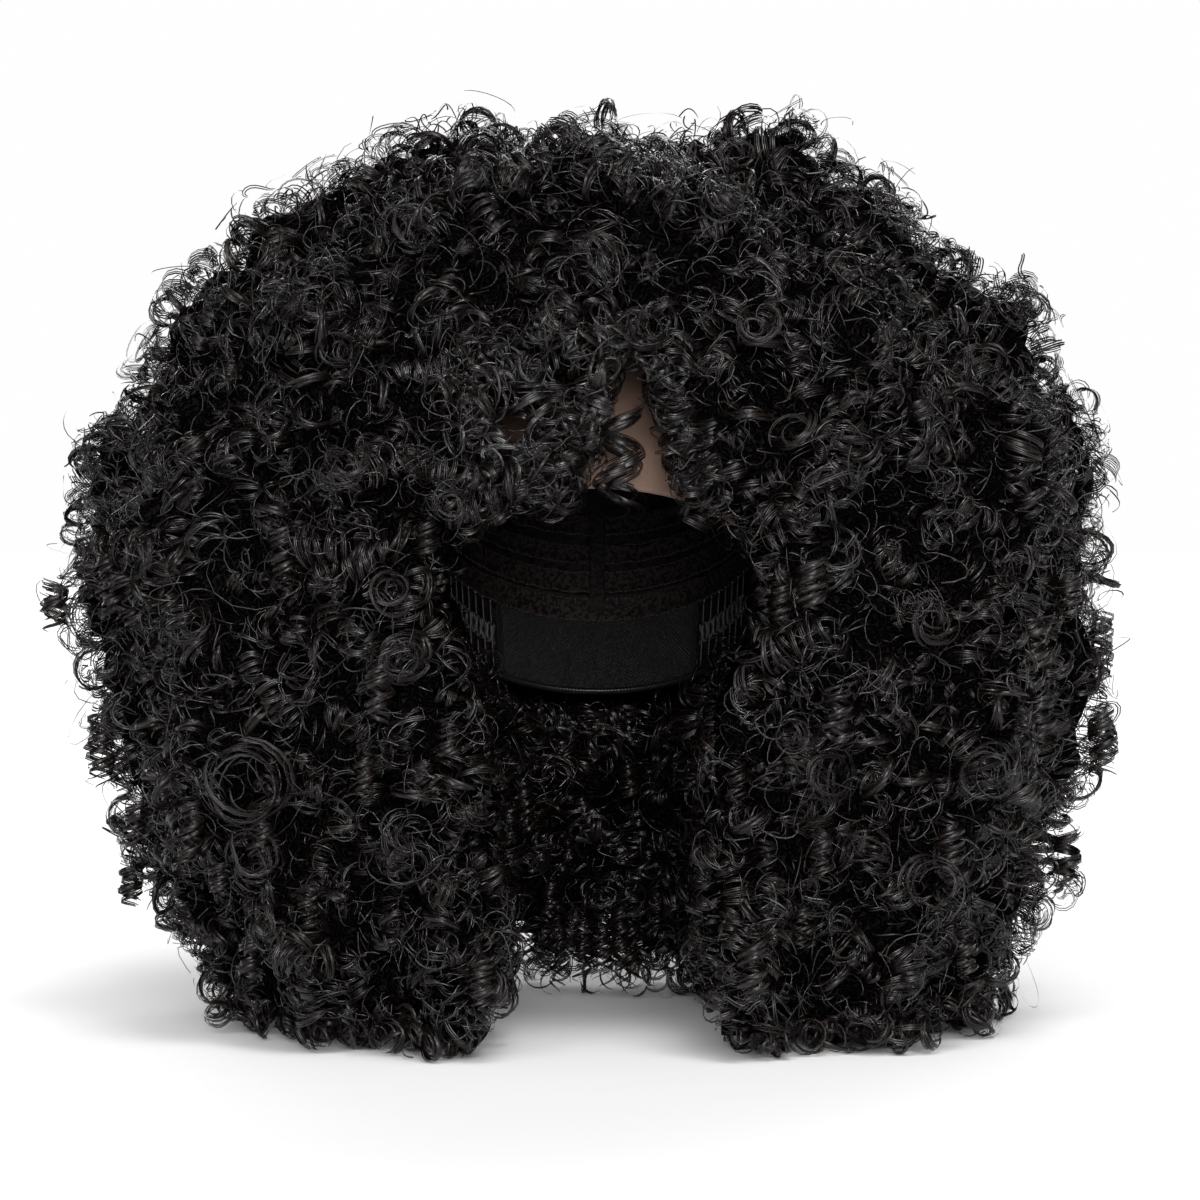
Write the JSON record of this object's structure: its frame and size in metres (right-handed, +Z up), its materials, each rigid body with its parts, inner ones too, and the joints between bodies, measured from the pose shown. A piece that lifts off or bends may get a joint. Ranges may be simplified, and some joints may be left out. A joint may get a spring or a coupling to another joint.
{
  "type": "curly hair wig",
  "caption": "Full black curly afro wig with a fringe, standing on its curl ends, with an open cap that has weft tracks, an elastic nape band and combs inside.",
  "frame": {"origin": "on the floor, under the middle of the wig's box", "axes": "+Z up; the face opening looks along -Y; +X to the wearer's left, the longest way across the curls"},
  "size_m": [0.422, 0.3656, 0.3661],
  "materials": {
    "curls": "glossy black curled hair",
    "net": "matte black net and weft tape",
    "skin_tone": "matte brown scalp cloth",
    "elastic": "matte black woven elastic",
    "comb": "satin black comb with pale tips"
  },
  "bodies": {
    "root": {"cap_crown": "net", "front_panel": "skin_tone", "nape_band": "elastic", "edge_binding": "elastic", "centre_strap": "net", "comb_left": "comb", "comb_right": "comb", "hair_crown": "curls", "hair_fringe": "curls", "hair_left": "curls", "hair_right": "curls", "hair_back": "curls", "weft_track_1": "net", "weft_track_2": "net", "weft_track_3": "net", "weft_track_4": "net"}
  },
  "joints": []
}
